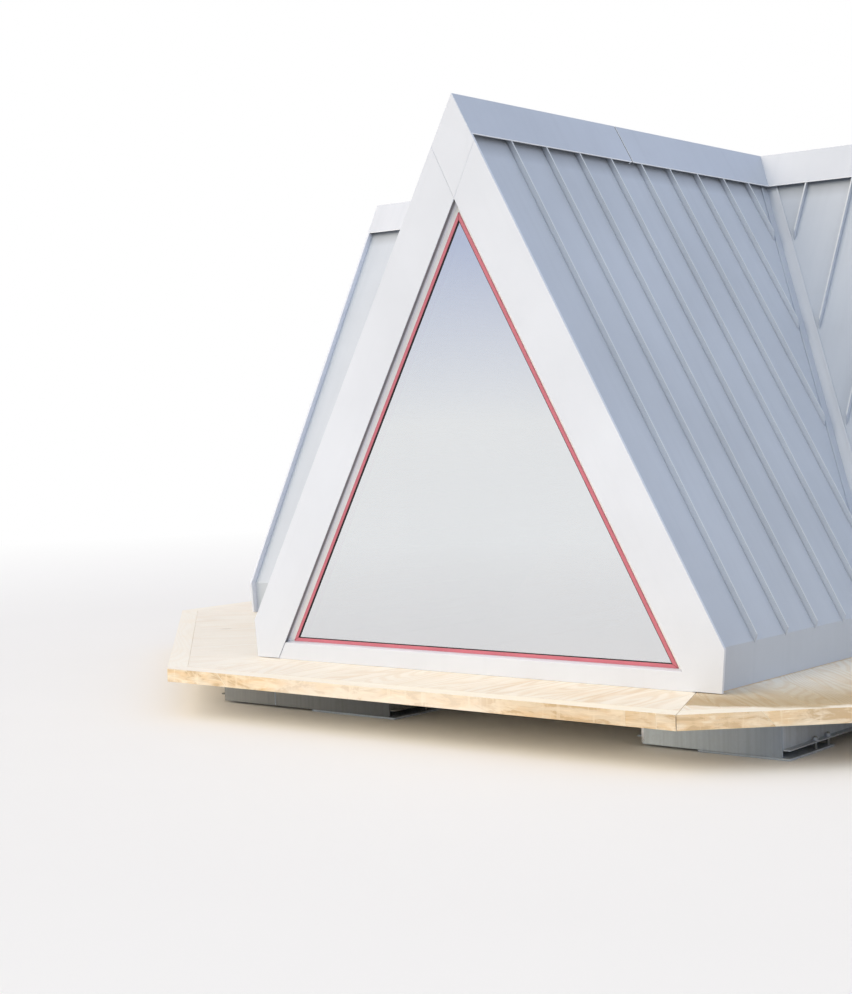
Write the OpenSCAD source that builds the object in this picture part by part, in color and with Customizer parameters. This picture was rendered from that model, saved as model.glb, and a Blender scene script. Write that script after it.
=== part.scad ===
// A-frame cabin of four equal gabled arms in a cross, on an octagonal timber deck.
// The origin is on the ground under the middle of the cabin, and the front arm points to -Y.
// The roof is also the wall: its slopes run from the ridge down to the deck.

/* [Cabin] */
// Height of the apex above the deck
apex_h = 3210; // [2800:10:3600]
// From the middle of the cabin to a gable face
arm_l = 3530; // [3200:10:3900]
// Width of a gable across its two knees
knee_w = 3260; // [2800:10:3600]
// Height of the knees above the deck
knee_h = 228; // [160:2:300]
// How far the gable draws in on each side from the knees to the deck
knee_tuck = 20; // [0:5:60]

/* [Roof] */
// Depth of the metal pans below the rake line
pan_drop = 38; // [25:1:60]
// Thickness of the metal sheets
sheet_t = 4; // [2:1:8]
// From the gable face to the first standing seam
seam_first = 388; // [200:2:440]
// Spacing of the standing seams
seam_pitch = 342; // [300:2:600]
// Thickness of a standing seam
seam_t = 10; // [6:1:16]
// Width of the ridge cap on each side of the ridge
cap_w = 264; // [150:2:290]
// From the gable face to the joint between the two lengths of ridge cap
cap_joint = 1650; // [1000:5:2400]
// Depth of the roof panels' inside face below the rake line
lining_drop = 311; // [295:1:340]

/* [Gable trim] */
// Width of the trim, square to the rake
trim_w = 276; // [180:2:290]
// Height from the apex down to the side corners of the apex panel
kite_drop = 275; // [262:1:290]
// Depth of the fold that lines the opening in the trim
return_d = 44; // [20:2:80]
// Width of the raised lip along the rake
lip_t = 18; // [10:1:40]
// Height of the sill above the deck
sill_h = 110; // [60:5:200]

/* [Window] */
// Width of the window frame's face
frame_w = 20; // [16:1:60]
// Depth of the window frame
frame_d = 90; // [60:5:140]
// Distance from the trim's face back to the frame's face
frame_back = 36; // [10:1:40]
// Width of the glazing gasket
gasket_w = 5; // [4:1:20]
// Thickness of the glass unit
glass_t = 28; // [20:1:44]

/* [Deck] */
// Width of the octagonal deck across its flats
deck_w = 8350; // [7900:10:9000]
// Thickness of the deck
deck_t = 76; // [50:2:140]
// Open mitre joint between two deck segments
mitre_gap = 4; // [2:1:8]
// Thickness of the floor inside
floor_t = 40; // [20:2:60]

/* [Steel base] */
// Height of the end channels, and of the beams with the clearance under them
beam_h = 204; // [160:2:300]
// Clearance between the long beams and the base plates
beam_gap = 34; // [10:2:60]
// Width of the beams' flanges
flange_w = 44; // [30:2:80]
// Thickness of the steel
steel_t = 8; // [6:1:14]
// Thickness of the base plates
plate_t = 12; // [8:1:30]
// From the deck's edge back to the end channels
base_back = 600; // [400:10:900]
// Outer side of the left pair of beams
left_outer = 1866; // [1600:2:2000]
// Inner side of the left pair of beams
left_inner = 534; // [400:2:800]
// Inner side of the right pair of beams
right_inner = 1164; // [900:2:1300]
// Outer side of the right pair of beams
right_outer = 1964; // [1700:2:2000]
// Joint in the left end channel, measured from the middle of the cabin
channel_joint = 1432; // [1000:2:1500]
// Length of a base plate at the left pair
left_plate = 640; // [300:10:1000]
// Length of a base plate at the right pair
right_plate = 515; // [300:5:700]

/* [Hidden] */

// The four arms, counted anticlockwise from above
FRONT = 0;
RIGHT = 1;
BACK = 2;
LEFT = 3;
ARMS = [FRONT, RIGHT, BACK, LEFT];

knee_x = knee_w / 2;
base_x = knee_x - knee_tuck;
deck_top = plate_t + beam_h + deck_t;
deck_r = deck_w / 2;
beam_end = deck_r - base_back;
// Half the angle at the apex
half_a = atan(knee_x / (apex_h - knee_h));
// Length of the rake from the apex to the knee
rake_l = (apex_h - knee_h) / cos(half_a);
kite_z = apex_h - kite_drop;
seam_n = floor((arm_l - seam_first) / seam_pitch) + 1;

// Thickness of the trim's face
face_t = 5;
// Clearance where the trim's sheets meet
sheet_gap = 2;
// Clearance between the trim and the deck
foot_gap = 4;
// Flat strip that the seams leave free beside a valley
valley_strip = 70;
// Height of the folded edge below the ridge cap
cap_hem = 8;
// Open joint between two lengths of cap or channel
joint_gap = 4;
// Width of the cut at a mitre of the window frame
frame_cut = 1.5;
// Distance from the window frame's face back to the gasket, and from there to the glass
gasket_back = 3;
gasket_d = 6;
// Fall of the sill towards the front
sill_fall = 12;
// Clearance round the floor
floor_gap = 2;
// How far a base plate stands proud of the beams
plate_reach = 40;
// Depth of a base plate from the end channel's face inwards
plate_d = 480;
// Clearance between an end channel and the beams behind its web
weld_gap = 1;
// More than the cabin's reach, for cutting
far = 2 * arm_l;

// Height at the middle of the gable of the line that lies a depth d below the rake
function top_z(d) = apex_h - d / sin(half_a);
// Half width of the gable inside that line, at a height z
function rake_x(z, d) = (apex_h - z) * tan(half_a) - d / cos(half_a);

// Puts a piece of the front arm, measured from the deck, on another arm
module on_arm(arm) {
  rotate([0, 0, 90 * arm]) translate([0, 0, deck_top]) children();
}

// Turns a piece of the right-hand side into one of the left-hand side
module left_hand() {
  mirror([1, 0, 0]) children();
}

// Extrudes an outline of the gable, from a depth behind the gable face towards the middle
module behind_gable(depth, length) {
  translate([0, depth + length - arm_l, 0]) rotate([90, 0, 0]) linear_extrude(length) children();
}

// Draws along the right-hand rake: x runs down from the apex, and y points out of the roof
module along_rake() {
  translate([0, apex_h]) rotate(half_a - 90) children();
}

// The space over the right-hand slope's share of the plan, from the ridge to the valley
module up_to_valley(strip = 0) {
  edge = strip * sqrt(2);
  translate([0, 0, -deck_top])
    linear_extrude(2 * far)
      polygon([[0, -edge], [far, -far - edge], [0, -far - edge]]);
}

// Insulated timber panel, which is roof and wall in one
module roof_panel() {
  skin = pan_drop + sheet_t;
  color("burlywood")
    intersection() {
      behind_gable(return_d, arm_l)
        polygon([
          [0, top_z(skin)],
          [rake_x(knee_h, skin), knee_h],
          [base_x - skin, 0],
          [rake_x(0, lining_drop), 0],
          [0, top_z(lining_drop)]
        ]);
      up_to_valley();
    }
}

// Metal pans of one slope, folded at the knee and carried down to the deck
module roof_pans() {
  skin = pan_drop + sheet_t;
  intersection() {
    behind_gable(face_t, arm_l)
      polygon([
        [0, top_z(pan_drop)],
        [rake_x(knee_h, pan_drop), knee_h],
        [base_x - pan_drop, foot_gap],
        [base_x - skin, foot_gap],
        [rake_x(knee_h, skin), knee_h],
        [0, top_z(skin)]
      ]);
    up_to_valley();
  }
}

// Standing seams from the ridge to the knee or the valley, each in its own upright plane
module standing_seams() {
  intersection() {
    for (i = [0 : seam_n - 1])
      behind_gable(seam_first + i * seam_pitch - seam_t / 2, seam_t)
        along_rake()
          polygon([
            [0, -sheet_t], [rake_l - pan_drop, -sheet_t],
            [rake_l, -pan_drop - sheet_t / 2], [0, -pan_drop - sheet_t / 2]
          ]);
    up_to_valley(valley_strip);
  }
}

// One slope of the metal roof
module roof_slope() {
  color("lightsteelblue") {
    roof_pans();
    standing_seams();
  }
}

// Right-hand half of one length of ridge cap, with its folded lower edge
module cap_half(start, end) {
  intersection() {
    behind_gable(start, end - start)
      along_rake()
        polygon([
          [-cap_w, 0], [cap_w, 0], [cap_w, -cap_hem], [cap_w - sheet_t, -cap_hem],
          [cap_w - sheet_t, -sheet_t], [-cap_w, -sheet_t]
        ]);
    up_to_valley();
  }
}

// One length of ridge cap
module cap_length(start, end) {
  cap_half(start, end);
  left_hand() cap_half(start, end);
}

// Ridge cap of one arm in two lengths
module ridge_cap() {
  color("slategray") {
    cap_length(face_t, cap_joint - joint_gap / 2);
    cap_length(cap_joint + joint_gap / 2, arm_l);
  }
}

// Face of the right-hand gable trim, cut to a knee near the deck
module trim_face() {
  polygon([
    [rake_x(kite_z, 0), kite_z - sheet_gap],
    [knee_x, knee_h],
    [base_x, foot_gap],
    [rake_x(foot_gap, trim_w), foot_gap],
    [0, top_z(trim_w) - sheet_gap]
  ]);
}

// Fold of the right-hand trim that lines the opening
module trim_return() {
  polygon([
    [0, top_z(trim_w - sheet_t) - sheet_gap],
    [rake_x(foot_gap, trim_w - sheet_t), foot_gap],
    [rake_x(foot_gap, trim_w), foot_gap],
    [0, top_z(trim_w) - sheet_gap]
  ]);
}

// Edge of the right-hand trim below the knee
module trim_foot() {
  polygon([
    [knee_x, knee_h], [base_x, foot_gap],
    [base_x - pan_drop, foot_gap], [rake_x(knee_h, pan_drop), knee_h]
  ]);
}

// Raised lip along the right-hand rake, below the ridge cap
module verge_lip() {
  start = cap_w + sheet_gap;
  along_rake() translate([start, -pan_drop]) square([rake_l - start, pan_drop]);
}

// What lies above the joint between the apex panel and the right-hand trim, lowered by a shift
module above_trim_joint(shift = 0) {
  kite_x = rake_x(kite_z, 0);
  low = top_z(trim_w) - shift;
  high = 2 * kite_z - top_z(trim_w) - shift;
  polygon([[0, low], [2 * kite_x, high], [0, high]]);
}

// Right-hand gable trim with its raised lip along the roof
module gable_trim() {
  color("gainsboro") {
    behind_gable(0, face_t) trim_face();
    behind_gable(0, return_d) trim_return();
    behind_gable(0, lip_t) {
      trim_foot();
      difference() {
        verge_lip();
        above_trim_joint(sheet_gap);
      }
    }
  }
}

// Short length of the lip behind the right-hand corner of the apex panel
module apex_lip() {
  behind_gable(0, lip_t)
    intersection() {
      verge_lip();
      above_trim_joint();
    }
}

// Kite-shaped panel at the head of a gable
module apex_panel() {
  kite_x = rake_x(kite_z, 0);
  behind_gable(0, face_t)
    polygon([[0, apex_h], [kite_x, kite_z], [0, top_z(trim_w)], [-kite_x, kite_z]]);
  apex_lip();
  left_hand() apex_lip();
}

// Triangle inside the line that lies a depth d below the rakes, standing on a height z
module gable_triangle(d, z) {
  polygon([[-rake_x(z, d), z], [rake_x(z, d), z], [0, top_z(d)]]);
}

// Triangular ring of a width w inside that triangle
module gable_ring(d, z, w) {
  difference() {
    gable_triangle(d, z);
    gable_triangle(d + w, z + w);
  }
}

// Thin cuts where the frame's three bars meet at mitres
module mitre_cuts(d, z, w) {
  translate([0, top_z(d)]) square([frame_cut, 8 * w], center = true);
  for (side = [-1, 1])
    translate([side * rake_x(z, d), z])
      rotate(90 + side * (90 - (90 - half_a) / 2))
        square([8 * w, frame_cut], center = true);
}

// Window frame of three mitred bars
module window_frame() {
  color("indianred")
    behind_gable(frame_back, frame_d)
      difference() {
        gable_ring(lining_drop, sill_h, frame_w);
        mitre_cuts(lining_drop, sill_h, frame_w);
      }
}

module window_gasket() {
  behind_gable(frame_back + gasket_back, gasket_d)
    gable_ring(lining_drop + frame_w, sill_h + frame_w, gasket_w);
}

module window_glass() {
  color("lightblue", 0.4)
    behind_gable(frame_back + gasket_back + gasket_d, glass_t)
      gable_triangle(lining_drop + frame_w, sill_h + frame_w);
}

// Solid below a window between two heights, closed by the line a depth d below the rakes
module sill_block(d, start, end) {
  behind_gable(start, end - start)
    polygon([
      [-rake_x(0, d), 0], [rake_x(0, d), 0],
      [rake_x(sill_h, d), sill_h], [-rake_x(sill_h, d), sill_h]
    ]);
}

// Sill with a fall to the front, on the deck between the feet of the trim
module window_sill() {
  depth = frame_back + frame_d;
  difference() {
    union() {
      sill_block(trim_w, face_t, return_d);
      sill_block(lining_drop, return_d, depth);
    }
    translate([-far / 2, -arm_l, 0])
      rotate([90, 0, 90])
        linear_extrude(far)
          polygon([[0, sill_h - sill_fall], [frame_back, sill_h], [frame_back, far], [0, far]]);
  }
}

// Cross-shaped timber floor on the deck
module floor() {
  half_w = rake_x(floor_t, lining_drop) - floor_gap;
  reach = arm_l - frame_back - frame_d - floor_gap;
  color("wheat")
    translate([0, 0, deck_top])
      linear_extrude(floor_t) {
        square([2 * half_w, 2 * reach], center = true);
        square([2 * reach, 2 * half_w], center = true);
      }
}

// Octagonal deck of eight mitred segments
module deck() {
  turn = 360 / 8;
  half_gap = mitre_gap / 2;
  side = deck_r * tan(turn / 2) - half_gap / cos(turn / 2);
  color("navajowhite")
    for (i = [0 : 7])
      rotate(turn * i)
        translate([0, 0, plate_t + beam_h])
          linear_extrude(deck_t)
            polygon([[0, -half_gap / sin(turn / 2)], [-side, -deck_r], [side, -deck_r]]);
}

// Long channel with its web at x and its flanges towards a side, 1 or -1
module long_beam(x, side) {
  length = 2 * (beam_end - steel_t - weld_gap);
  height = beam_h - beam_gap;
  outline = [
    [0, 0], [flange_w, 0], [flange_w, steel_t], [steel_t, steel_t],
    [steel_t, height - steel_t], [flange_w, height - steel_t], [flange_w, height], [0, height]
  ];
  translate([x, length / 2, plate_t + beam_gap])
    mirror([side < 0 ? 1 : 0, 0, 0])
      translate([-steel_t, 0, 0])
        rotate([90, 0, 0]) linear_extrude(length) polygon(outline);
}

// Channel across the front end of two beams, with its flanges cut back clear of the beams' webs
module end_channel(x0, x1) {
  width = x1 - x0;
  cut_back = steel_t + weld_gap;
  translate([x0, -beam_end, plate_t]) {
    cube([width, steel_t, beam_h]);
    for (z = [0, beam_h - steel_t])
      translate([cut_back, 0, z]) cube([width - 2 * cut_back, flange_w, steel_t]);
  }
}

// Repeats a piece of the front end at the back end
module both_ends() {
  children();
  mirror([0, 1, 0]) children();
}

module left_base_beams() {
  color("darkgray") {
    long_beam(-left_outer, -1);
    long_beam(-left_inner, 1);
  }
}

module right_base_beams() {
  color("darkgray") {
    long_beam(right_inner, -1);
    long_beam(right_outer, 1);
  }
}

module base_end_channels() {
  half_gap = joint_gap / 2;
  color("darkgray")
    both_ends() {
      end_channel(-left_outer, -channel_joint - half_gap);
      end_channel(-channel_joint + half_gap, -left_inner);
      end_channel(right_inner, right_outer);
    }
}

module base_plates() {
  color("gray")
    both_ends() {
      translate([-left_inner + plate_reach - left_plate, -beam_end, 0])
        cube([left_plate, plate_d, plate_t]);
      translate([right_outer + plate_reach - right_plate, -beam_end, 0])
        cube([right_plate, plate_d, plate_t]);
    }
}

deck();
floor();
left_base_beams();
right_base_beams();
base_end_channels();
base_plates();
on_arm(FRONT) left_hand() roof_panel();  // front_panel_left
on_arm(FRONT) roof_panel();  // front_panel_right
on_arm(RIGHT) left_hand() roof_panel();  // right_panel_left
on_arm(RIGHT) roof_panel();  // right_panel_right
on_arm(BACK) left_hand() roof_panel();  // back_panel_left
on_arm(BACK) roof_panel();  // back_panel_right
on_arm(LEFT) left_hand() roof_panel();  // left_panel_left
on_arm(LEFT) roof_panel();  // left_panel_right
on_arm(FRONT) left_hand() roof_slope();  // front_slope_left
on_arm(FRONT) roof_slope();  // front_slope_right
on_arm(RIGHT) left_hand() roof_slope();  // right_slope_left
on_arm(RIGHT) roof_slope();  // right_slope_right
on_arm(BACK) left_hand() roof_slope();  // back_slope_left
on_arm(BACK) roof_slope();  // back_slope_right
on_arm(LEFT) left_hand() roof_slope();  // left_slope_left
on_arm(LEFT) roof_slope();  // left_slope_right
on_arm(FRONT) ridge_cap();  // front_ridge_cap
on_arm(RIGHT) ridge_cap();  // right_ridge_cap
on_arm(BACK) ridge_cap();  // back_ridge_cap
on_arm(LEFT) ridge_cap();  // left_ridge_cap
on_arm(FRONT) left_hand() gable_trim();  // front_trim_left
on_arm(FRONT) gable_trim();  // front_trim_right
on_arm(RIGHT) left_hand() gable_trim();  // right_trim_left
on_arm(RIGHT) gable_trim();  // right_trim_right
on_arm(BACK) left_hand() gable_trim();  // back_trim_left
on_arm(BACK) gable_trim();  // back_trim_right
on_arm(LEFT) left_hand() gable_trim();  // left_trim_left
on_arm(LEFT) gable_trim();  // left_trim_right
color("gainsboro") for (arm = ARMS) on_arm(arm) apex_panel();  // apex_panels
color("silver") for (arm = ARMS) on_arm(arm) window_sill();  // window_sills
color("black") for (arm = ARMS) on_arm(arm) window_gasket();  // window_gaskets
on_arm(FRONT) window_frame();  // front_window_frame
on_arm(RIGHT) window_frame();  // right_window_frame
on_arm(BACK) window_frame();  // back_window_frame
on_arm(LEFT) window_frame();  // left_window_frame
on_arm(FRONT) window_glass();  // front_glass
on_arm(RIGHT) window_glass();  // right_glass
on_arm(BACK) window_glass();  // back_glass
on_arm(LEFT) window_glass();  // left_glass
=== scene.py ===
"""Looks of the a-frame cabin: four gabled arms in a cross, with metal roofs, on an eight-sided deck."""

import math
import random

import bmesh
import bpy
from bpy.props import FloatProperty, FloatVectorProperty, PointerProperty
from mathutils import Matrix, Vector


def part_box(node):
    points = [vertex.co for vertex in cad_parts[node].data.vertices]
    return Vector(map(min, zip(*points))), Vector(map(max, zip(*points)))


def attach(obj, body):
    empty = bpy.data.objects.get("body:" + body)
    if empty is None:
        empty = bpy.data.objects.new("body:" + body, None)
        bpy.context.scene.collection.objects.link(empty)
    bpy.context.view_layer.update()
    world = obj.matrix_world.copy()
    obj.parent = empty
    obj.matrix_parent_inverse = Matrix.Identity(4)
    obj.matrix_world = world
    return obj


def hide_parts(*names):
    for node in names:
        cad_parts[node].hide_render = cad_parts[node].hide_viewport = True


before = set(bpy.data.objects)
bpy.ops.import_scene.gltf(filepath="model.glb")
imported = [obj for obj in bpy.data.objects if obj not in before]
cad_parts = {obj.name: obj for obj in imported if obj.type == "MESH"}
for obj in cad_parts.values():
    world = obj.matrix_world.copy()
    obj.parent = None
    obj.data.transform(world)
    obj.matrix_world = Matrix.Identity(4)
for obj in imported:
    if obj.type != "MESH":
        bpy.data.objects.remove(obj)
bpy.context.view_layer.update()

bl_info = {
    "name": "A-frame cabin",
    "version": (1, 0, 0),
    "blender": (4, 5, 0),
    "location": "View3D > Sidebar > Cabin",
    "description": "Models and finishes the metal roof, gables, windows, deck and base of the cabin",
    "category": "Add Mesh",
}

ARMS = ("front", "right", "back", "left")

# Tolerances, and how squarely a face has to point one way to be picked
TINY = 1e-4
WELD = 5e-5
ON_PLANE = 1e-5
FACING = 0.9
COATED = 0.99
CUT_SNAP = 1e-6
FLAT = math.radians(0.5)
SHARP = math.radians(30)
SMOOTH = math.radians(35)
SHALLOW = math.radians(20)

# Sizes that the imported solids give
DECK_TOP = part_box("deck")[1].z
DECK_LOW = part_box("deck")[0].z
DECK_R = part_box("deck")[1].y
APEX_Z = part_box("apex_panels")[1].z
ARM_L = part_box("apex_panels")[1].x
KNEE = max((v.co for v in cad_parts["front_trim_right"].data.vertices), key=lambda co: co.x).copy()
HALF_ANGLE = math.atan2(KNEE.x, APEX_Z - KNEE.z)
RAKE_L = (APEX_Z - KNEE.z) / math.cos(HALF_ANGLE)
DOWN_RAKE = Vector((math.sin(HALF_ANGLE), 0, -math.cos(HALF_ANGLE)))
OUT_OF_ROOF = Vector((math.cos(HALF_ANGLE), 0, math.sin(HALF_ANGLE)))
APEX = Vector((0, -ARM_L, APEX_Z))
FOOT_X = KNEE.x - 0.02


class RoofSizes(bpy.types.PropertyGroup):
    """Sizes of the metal roof"""

    pan_drop: FloatProperty(
        name="Pan drop", description="Depth of the pans below the rake line",
        default=0.038, min=0.02, max=0.06, unit="LENGTH",
    )
    sheet: FloatProperty(
        name="Sheet", description="Thickness of the folded sheet",
        default=0.004, min=0.001, max=0.008, unit="LENGTH",
    )
    seam_first: FloatProperty(
        name="First seam", description="From the gable face to the first standing seam",
        default=0.388, min=0.2, max=0.44, unit="LENGTH",
    )
    seam_pitch: FloatProperty(
        name="Seam spacing", description="Spacing of the standing seams",
        default=0.342, min=0.3, max=0.6, unit="LENGTH",
    )
    seam_web: FloatProperty(
        name="Seam web", description="Thickness of a seam's upright web",
        default=0.005, min=0.002, max=0.008, unit="LENGTH",
    )
    seam_lock: FloatProperty(
        name="Seam lock", description="Width of the folded lock along the top of a seam",
        default=0.011, min=0.006, max=0.016, unit="LENGTH",
    )
    lock_h: FloatProperty(
        name="Lock height", description="Height of the fold that covers a seam's side",
        default=0.027, min=0.005, max=0.030, unit="LENGTH",
    )
    waviness: FloatProperty(
        name="Waviness", description="How far the thin sheet bulges out of its plane",
        default=0.0006, min=0.0, max=0.002, unit="LENGTH",
    )
    cap_w: FloatProperty(
        name="Ridge cap", description="Width of the ridge cap on each side of the ridge",
        default=0.264, min=0.15, max=0.3, unit="LENGTH",
    )
    hem_h: FloatProperty(
        name="Hem", description="Drop of the hem along the lower edge of the ridge cap",
        default=0.003, min=0.001, max=0.012, unit="LENGTH",
    )
    reveal_slot: FloatProperty(
        name="Shadow slot", description="Depth of the slot folded into the lining of the gable opening",
        default=0.010, min=0.0, max=0.02, unit="LENGTH",
    )
    cap_joint: FloatProperty(
        name="Cap joint", description="From the gable face to the joint in the ridge cap",
        default=1.650, min=1.0, max=2.4, unit="LENGTH",
    )
    valley_w: FloatProperty(
        name="Valley flashing", description="Width of the valley flashing on each slope",
        default=0.060, min=0.03, max=0.1, unit="LENGTH",
    )


class TimberSizes(bpy.types.PropertyGroup):
    """Sizes of the boards"""

    board_w: FloatProperty(
        name="Board", description="Width of a deck, floor or lining board",
        default=0.140, min=0.08, max=0.25, unit="LENGTH",
    )
    border_w: FloatProperty(
        name="Border board", description="Width of the board along the deck's edge",
        default=0.120, min=0.08, max=0.2, unit="LENGTH",
    )
    joint_w: FloatProperty(
        name="Joint", description="Width of the joint between two boards",
        default=0.004, min=0.001, max=0.01, unit="LENGTH",
    )
    joint_d: FloatProperty(
        name="Joint depth", description="Depth of the joint between two boards",
        default=0.006, min=0.002, max=0.02, unit="LENGTH",
    )
    mitre_gap: FloatProperty(
        name="Mitre gap", description="Open joint between two deck segments",
        default=0.004, min=0.002, max=0.008, unit="LENGTH",
    )


class Finishes(bpy.types.PropertyGroup):
    """Colours of the cabin's materials"""

    roof: FloatVectorProperty(
        name="Roof sheet", description="Coated sheet of pans, seams and ridge caps",
        default=(0.567, 0.608, 0.671), subtype="COLOR", min=0, max=1,
    )
    trim: FloatVectorProperty(
        name="Trim sheet", description="Coated sheet of the gable trim",
        default=(0.728, 0.757, 0.831), subtype="COLOR", min=0, max=1,
    )
    # Near-white sheet that paints highlights on the folds and edges of the roof
    edge: FloatVectorProperty(
        name="Rubbed edge", description="Folds and edges of the roof sheet, rubbed pale",
        default=(0.93, 0.94, 0.96), subtype="COLOR", min=0, max=1,
    )
    red: FloatVectorProperty(
        name="Window frame", description="Powder coat of the window frames",
        default=(0.61, 0.16, 0.21), subtype="COLOR", min=0, max=1,
    )
    timber_pale: FloatVectorProperty(
        name="Pale timber", description="Early wood of the boards",
        default=(0.94, 0.86, 0.73), subtype="COLOR", min=0, max=1,
    )
    timber_dark: FloatVectorProperty(
        name="Dark timber", description="Late wood of the boards",
        default=(0.72, 0.51, 0.29), subtype="COLOR", min=0, max=1,
    )
    zinc: FloatVectorProperty(
        name="Zinc", description="Galvanised steel of the base",
        default=(0.52, 0.58, 0.66), subtype="COLOR", min=0, max=1,
    )
    glass: FloatVectorProperty(
        name="Glass", description="Tint of the reflecting window glass",
        default=(0.93, 0.95, 0.97), subtype="COLOR", min=0, max=1,
    )


class StageSettings(bpy.types.PropertyGroup):
    """Camera and light"""

    camera_x: FloatProperty(
        name="Camera X", description="Camera's distance to the right of the cabin's middle",
        default=6.102, unit="LENGTH",
    )
    camera_y: FloatProperty(
        name="Camera Y", description="Camera's place along the front arm, negative in front",
        default=-11.424, unit="LENGTH",
    )
    eye_h: FloatProperty(
        name="Eye level", description="Camera's height above the deck",
        default=1.391, unit="LENGTH",
    )
    yaw: FloatProperty(
        name="Yaw", description="Turn of the camera from the front arm's axis",
        default=-0.678, unit="ROTATION",
    )
    pitch: FloatProperty(
        name="Pitch", description="Tilt of the camera above the horizon",
        default=-0.040, unit="ROTATION",
    )
    roll: FloatProperty(
        name="Roll", description="Turn of the camera about its own axis",
        default=0.028, unit="ROTATION",
    )
    focal: FloatProperty(
        name="Focal length", description="Focal length on a 36 mm sensor",
        default=65.22, min=20, max=200, unit="CAMERA",
    )
    key_strength: FloatProperty(
        name="Key lamp", description="Strength of the soft lamp high on the left",
        default=1.10, min=0, max=5,
    )
    key_colour: FloatVectorProperty(
        name="Key colour", description="Colour of the soft lamp on the left",
        default=(1.0, 0.777, 0.62), subtype="COLOR", min=0, max=1,
    )
    front_strength: FloatProperty(
        name="Front lamp", description="Strength of the soft lamp before the front arm",
        default=0.98, min=0, max=5,
    )
    front_colour: FloatVectorProperty(
        name="Front colour", description="Colour of the soft lamp before the front arm",
        default=(1.0, 0.92, 0.59), subtype="COLOR", min=0, max=1,
    )
    side_strength: FloatProperty(
        name="Side lamp", description="Strength of the soft lamp on the right",
        default=0.45, min=0, max=5,
    )
    side_colour: FloatVectorProperty(
        name="Side colour", description="Colour of the soft lamp on the right",
        default=(1.0, 1.0, 1.0), subtype="COLOR", min=0, max=1,
    )
    sky: FloatVectorProperty(
        name="Overhead light", description="Colour of the light from overhead",
        default=(0.50, 0.57, 0.70), subtype="COLOR", min=0, max=1,
    )
    horizon: FloatVectorProperty(
        name="Low light", description="Colour of the light from all around, low down",
        default=(0.8, 0.8, 0.8), subtype="COLOR", min=0, max=1,
    )
    mirrored_low: FloatVectorProperty(
        name="Mirrored low", description="What the glass mirrors near the horizon",
        default=(1.0, 1.0, 1.0), subtype="COLOR", min=0, max=1,
    )
    mirrored_high: FloatVectorProperty(
        name="Mirrored high", description="What the glass mirrors higher up",
        default=(0.60, 0.66, 0.84), subtype="COLOR", min=0, max=1,
    )
    floor_glow: FloatProperty(
        name="Floor glow", description="How much of the far floor's white lights the cabin",
        default=0.3, min=0, max=1,
    )
    floor: FloatVectorProperty(
        name="Floor", description="Colour of the plain floor",
        default=(0.93, 0.91, 0.88), subtype="COLOR", min=0, max=1,
    )


def settings():
    """All settings of the cabin"""
    return bpy.context.scene.cabin


class CabinSettings(bpy.types.PropertyGroup):
    """Everything that a user may change"""

    roof: PointerProperty(type=RoofSizes)
    timber: PointerProperty(type=TimberSizes)
    finish: PointerProperty(type=Finishes)
    stage: PointerProperty(type=StageSettings)


# Modelling by hand

def only(obj):
    """Selects one object alone and makes it the active one"""
    bpy.ops.object.select_all(action="DESELECT")
    obj.select_set(True)
    bpy.context.view_layer.objects.active = obj


class editing:
    """Edit mode on one object for the length of a with block"""

    def __init__(self, obj):
        self.obj = obj

    def __enter__(self):
        only(self.obj)
        bpy.ops.object.mode_set(mode="EDIT")
        bpy.ops.mesh.select_mode(type="VERT")
        bpy.ops.mesh.select_all(action="SELECT")
        return self.obj

    def __exit__(self, *problem):
        bpy.ops.object.mode_set(mode="OBJECT")


def pick(obj, kind, test):
    """Selects the VERT, EDGE or FACE elements that pass a test, in edit mode"""
    bpy.ops.mesh.select_mode(type=kind)
    bpy.ops.mesh.select_all(action="DESELECT")
    mesh = bmesh.from_edit_mesh(obj.data)
    parts = {"VERT": mesh.verts, "EDGE": mesh.edges, "FACE": mesh.faces}[kind]
    for part in parts:
        if test(part):
            part.select_set(True)
    mesh.select_flush_mode()
    bmesh.update_edit_mesh(obj.data)


def middle(edge):
    """Middle of an edge"""
    return (edge.verts[0].co + edge.verts[1].co) / 2


def block(name, low, high):
    """Starts a piece from a cube between two corners"""
    low, high = Vector(low), Vector(high)
    bpy.ops.object.select_all(action="DESELECT")
    bpy.ops.mesh.primitive_cube_add(size=1, location=(low + high) / 2)
    obj = bpy.context.object
    obj.name = name
    obj.scale = high - low
    bpy.ops.object.transform_apply(location=True, rotation=True, scale=True)
    return obj


def from_solid(solid, name):
    """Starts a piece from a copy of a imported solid, with its triangles merged to clean faces"""
    obj = bpy.data.objects.new(name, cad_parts[solid].data.copy())
    bpy.context.scene.collection.objects.link(obj)
    obj.data.materials.clear()
    with editing(obj):
        bpy.ops.mesh.remove_doubles(threshold=WELD)
        bpy.ops.mesh.dissolve_degenerate(threshold=WELD)
        bpy.ops.mesh.dissolve_limited(angle_limit=FLAT)
    return obj


def cut(obj, point, normal, keep=None, fill=True):
    """Cuts the mesh along a plane, and keeps all of it or only what is behind or ahead of the plane"""
    bpy.ops.mesh.select_all(action="SELECT")
    bpy.ops.mesh.bisect(
        plane_co=point, plane_no=normal, use_fill=fill and keep is not None,
        clear_outer=keep == "behind", clear_inner=keep == "ahead", threshold=CUT_SNAP,
    )


def groove(obj, point, normal, half_w, sink, on_face):
    """Cuts a V-groove along a plane, where on_face says that a point lies on the face"""
    point, normal = Vector(point), Vector(normal).normalized()
    for offset in (-half_w, half_w, 0):
        cut(obj, point + normal * offset, normal)
    pick(obj, "VERT", lambda v: abs((v.co - point).dot(normal)) < ON_PLANE and on_face(v.co))
    bpy.ops.transform.translate(value=sink)


def extrude(step):
    """Extrudes what is selected by a step"""
    bpy.ops.mesh.extrude_region_move(TRANSFORM_OT_translate={"value": step})


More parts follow.
